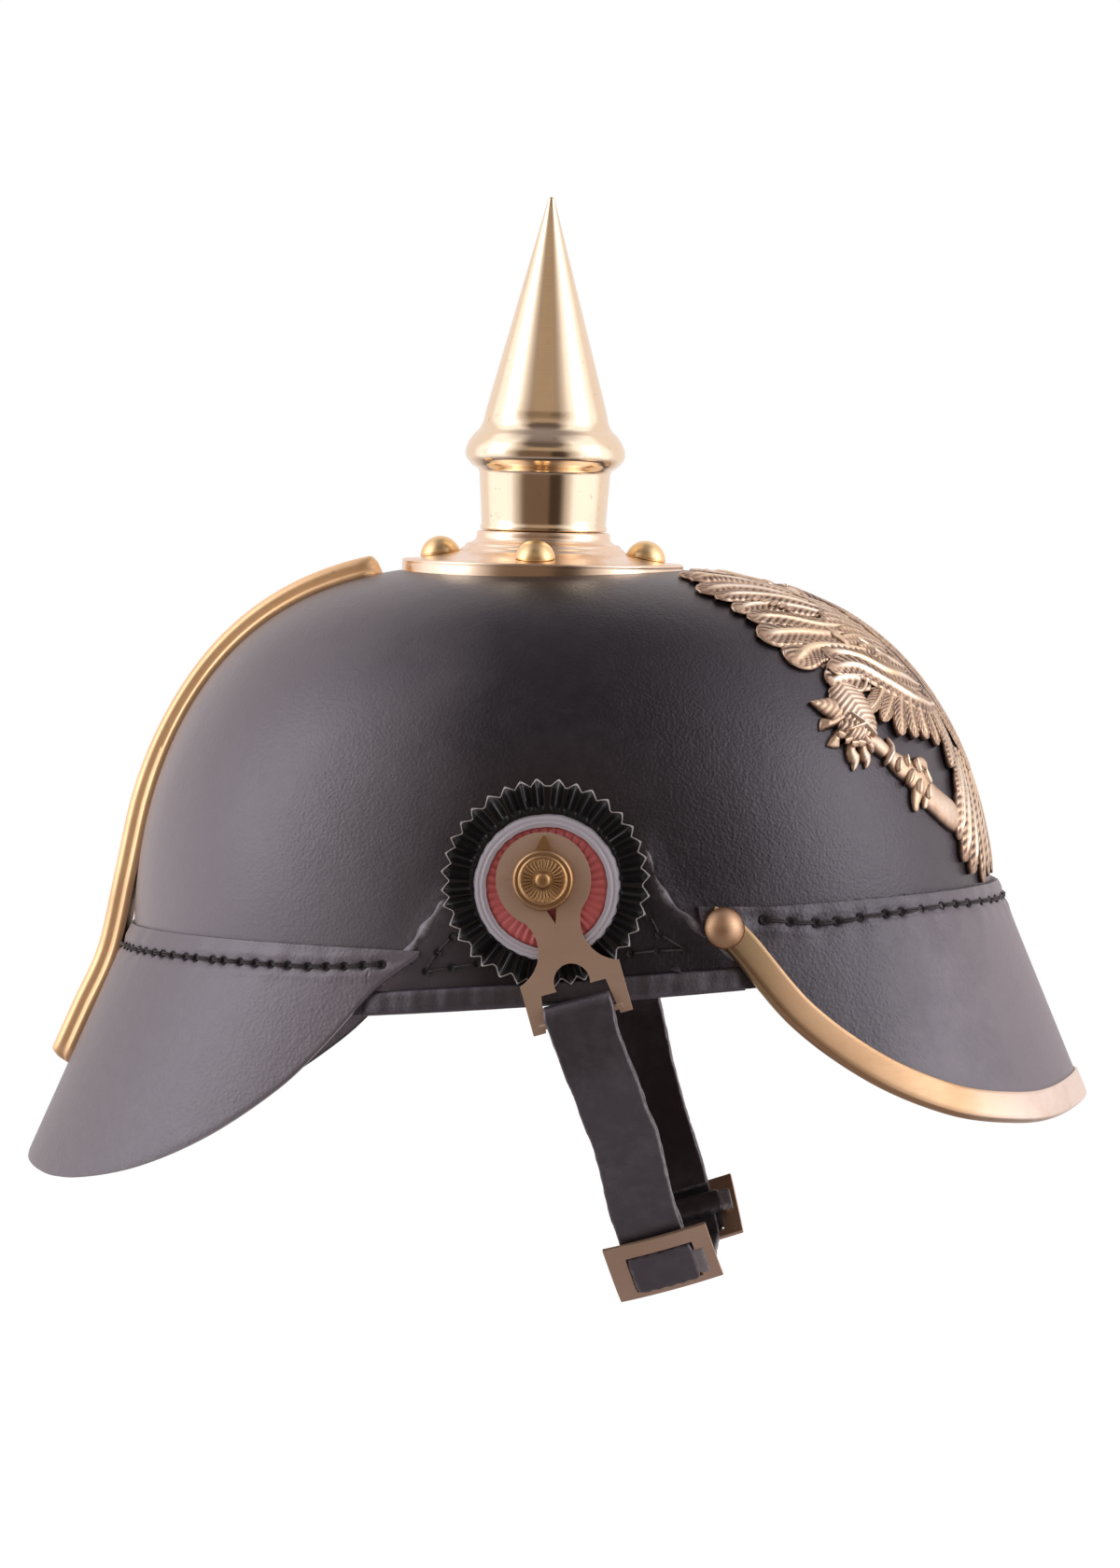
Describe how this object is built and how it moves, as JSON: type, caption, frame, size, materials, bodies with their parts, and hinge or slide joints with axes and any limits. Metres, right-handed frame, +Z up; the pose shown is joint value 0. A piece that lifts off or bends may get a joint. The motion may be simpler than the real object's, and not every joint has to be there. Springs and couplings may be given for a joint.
{
  "type": "pickelhaube",
  "caption": "Spiked leather helmet with flared visors, brass eagle plate, spine, trim, side cockades and a buckled chinstrap that swings on its posts.",
  "frame": {"origin": "centre of the head opening, the shell's oval at the height of the rim below the side posts", "axes": "+X to the helmet's front, +Y to the wearer's left, +Z up along the spike"},
  "size_m": [0.2914, 0.2102, 0.3043],
  "materials": {
    "shell_leather": "satin, fine grain",
    "visor_leather": "satin, fine grain",
    "strap_leather": "smooth, worn edges",
    "patch_leather": "matt",
    "liner_leather": "matt",
    "lace_cotton": "matt",
    "polished_brass": "polished",
    "golden_brass": "polished",
    "trim_brass": "brushed satin",
    "plate_brass": "antiqued, stamped",
    "sheet_brass": "matt",
    "steel": "plain",
    "cockade_black": "gloss, worn pleats",
    "cockade_rings": "gloss"
  },
  "bodies": {
    "helmet": {"shell": "shell_leather", "side_patches": "patch_leather", "rim_welt": "shell_leather", "sweatband_liner": "liner_leather", "liner_lace": "lace_cotton", "front_visor": "visor_leather", "rear_visor": "visor_leather", "front_visor_trim": "trim_brass", "front_trim_studs": "golden_brass", "rear_spine": "golden_brass", "spine_prongs": "golden_brass", "base_plate": "polished_brass", "base_studs": "golden_brass", "base_stud_washers": "steel", "spike_nut": "steel", "spike_washer": "steel", "eagle_plate": "plate_brass", "eagle_posts": "plate_brass", "eagle_nuts": "sheet_brass", "post_nuts": "sheet_brass", "right_cockade_ring": "cockade_black", "right_cockade_centre": "cockade_rings", "right_post": "sheet_brass", "left_cockade_ring": "cockade_black", "left_cockade_centre": "cockade_rings", "left_post": "sheet_brass"},
    "spike": {"spike": "polished_brass", "spike_stud": "steel"},
    "chinstrap": {"strap_band": "strap_leather", "right_lug": "sheet_brass", "left_lug": "sheet_brass", "right_strap_end": "strap_leather", "left_strap_end": "strap_leather"},
    "buckle_right": {"right_buckle": "sheet_brass", "right_buckle_sleeve": "strap_leather"},
    "buckle_left": {"left_buckle": "sheet_brass", "left_buckle_sleeve": "strap_leather"}
  },
  "joints": [
    {"name": "spike_turn", "type": "hinge", "parent": "helmet", "child": "spike", "pos_m": [-0.008, 0, 0.1234], "axis": [0, 0, 1], "continuous": true},
    {"name": "chinstrap_swing", "type": "hinge", "parent": "helmet", "child": "chinstrap", "pos_m": [0.0015, 0, 0.0334], "axis": [0, -1, 0], "range_deg": [-57, 31]},
    {"name": "buckle_right_slide", "type": "slide", "parent": "chinstrap", "child": "buckle_right", "axis": [-0.2304, -0.6157, 0.7536], "range_m": [0, 0.025], "deforming": ["right_strap_end"]},
    {"name": "buckle_left_slide", "type": "slide", "parent": "chinstrap", "child": "buckle_left", "axis": [-0.2304, 0.6157, 0.7536], "range_m": [0, 0.025], "deforming": ["left_strap_end"]}
  ]
}
